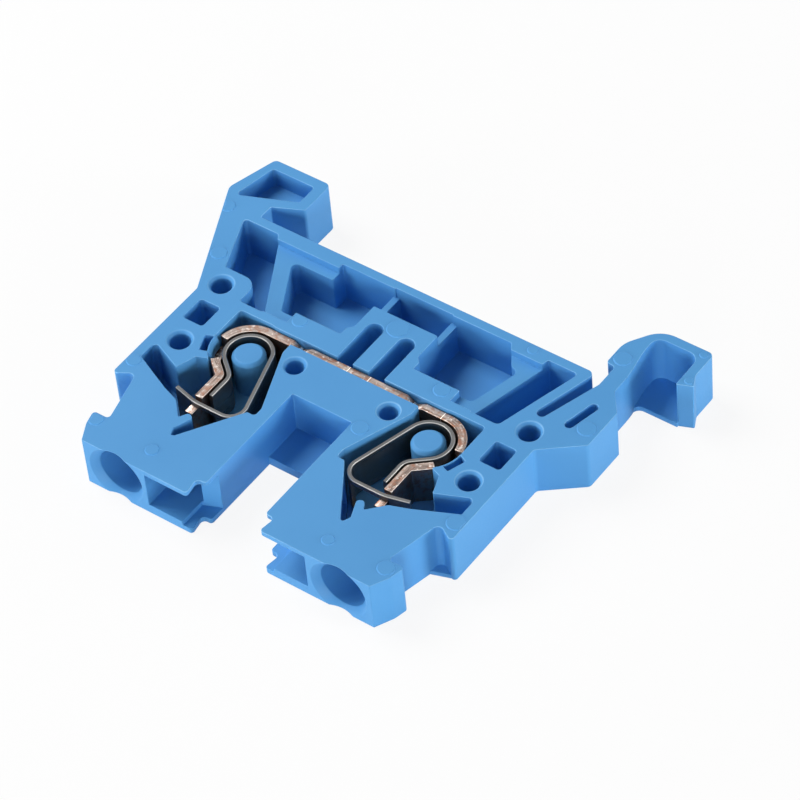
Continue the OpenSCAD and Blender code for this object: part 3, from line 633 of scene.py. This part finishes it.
for side_name, mirror in (("right", 1), ("left", -1)):
    node, body = side_name + "_clamp_spring", side_name + "_clamp"
    short_strip = swept_strip(short_leg, mirror)
    long_strip = swept_strip(long_leg, mirror, WINDOW_X)
    fixed = new_piece(side_name + "_spring_short_leg", *short_strip, steel, SMOOTH_UP_TO)
    moving = new_piece(side_name + "_spring_long_leg", *long_strip, steel, SMOOTH_UP_TO)
    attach(fixed, "block")
    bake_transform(moving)
    for piece in (fixed, moving):
        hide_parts(node)
    print(node, "faces:", len(fixed.data.polygons) + len(moving.data.polygons))

# %% [markdown]
# The block lies on its closed side on a white sweep. One soft box stands high on the left and lights the top. Three
# stand low, at the front left, the front right and the right: they light the outer walls, and can't look into the deep
# pockets or to the end of the gap between the heads. Those are left to the weaker light of the tent and turn dark, so
# that the form reads well.

# %% Soft boxes
AIM_AT = metres(0, -12, 3)
SOFT_BOXES = [
    ("left_soft_box", (-320, -28, 383), 300, 2.12),
    ("front_soft_box", (-287, -410, 87), 160, 0.95),
    ("corner_soft_box", (260, -428, 87), 160, 1.0),
    ("right_soft_box", (463, 168, 87), 160, 1.5),
]
for name, at, size, watts in SOFT_BOXES:
    lamp = bpy.data.lights.new(name, "AREA")
    lamp.shape = "SQUARE"
    lamp.size = size * MM
    lamp.energy = watts
    box = bpy.data.objects.new(name, lamp)
    box.location = metres(*at)
    box.rotation_euler = (AIM_AT - box.location).to_track_quat("-Z", "Y").to_euler()
    scene.collection.objects.link(box)

# %% [markdown]
# A tent of white cloth stands round the set. The camera and the metal's reflections see it as plain white, but it sheds
# only a weak light on the block. The Light Path node tells these apart: it knows what kind of ray has arrived.

# %% Light tent
TENT_LIGHT, TENT_WHITE = 0.1, 1.0


def seen_directly(tree):
    """One where the camera, a reflection or clear material looks, and nought where only light is gathered."""
    path = add(tree, "LightPath").outputs
    seen = add(tree, "Math", {0: path["Is Camera Ray"], 1: path["Is Glossy Ray"]}, operation="MAXIMUM")
    seen = add(tree, "Math", {0: seen.outputs[0], 1: path["Is Transmission Ray"]}, operation="MAXIMUM")
    return seen.outputs[0]


scene.view_settings.view_transform = "Standard"
world = bpy.data.worlds.new("light_tent")
scene.world = world
world.use_nodes = True
tree = world.node_tree
tree.nodes.clear()
strength = add(tree, "MapRange", {"Value": seen_directly(tree), "To Min": TENT_LIGHT, "To Max": TENT_WHITE})
cloth = add(tree, "Background", {"Color": linear("#ffffff"), "Strength": strength.outputs["Result"]})
add(tree, "OutputWorld", {"Surface": cloth.outputs[0]})
print("world:", world.name)

# %% [markdown]
# The floor is white card. Most of what the camera sees of it is plain white of its own, so it melts into the
# background, and the rest is card that takes the block's soft shadow.

# %% Floor
FLOOR_HALF, FLOOR_Z = 2000, -0.02
WHITE_SHARE = 0.9

card, tree, place = new_finish("white_card")
share = add(tree, "Math", {0: seen_directly(tree), 1: WHITE_SHARE}, operation="MULTIPLY")
fibre = add(tree, "TexNoise", {"Vector": place, "Scale": per(2), "Detail": 2.0}).outputs["Fac"]
paper = add(
    tree, "Mix", {FACTOR: fibre, COLOUR_A: linear("#f4f4f4"), COLOUR_B: linear("#fbfbfb")}, data_type="RGBA"
)
matte = add(tree, "BsdfDiffuse", {"Color": paper.outputs[MIXED_COLOUR]})
glow = add(tree, "Emission", {"Color": linear("#ffffff"), "Strength": 1.0})
both = add(tree, "MixShader", {0: share.outputs[0], 1: matte.outputs[0], 2: glow.outputs[0]})
add(tree, "OutputMaterial", {"Surface": both.outputs[0]})

signs = ((-1, -1), (1, -1), (1, 1), (-1, 1))
corners = [metres(x * FLOOR_HALF, y * FLOOR_HALF, FLOOR_Z) for x, y in signs]
floor = new_piece("floor", corners, [[0, 1, 2, 3]], card)
print("floor half width in mm:", FLOOR_HALF)

# %% [markdown]
# Last, the scene is brought up to date. Blender gives the part its looks and never its dimensions.

# %% Bring the scene up to date
bpy.context.view_layer.update()
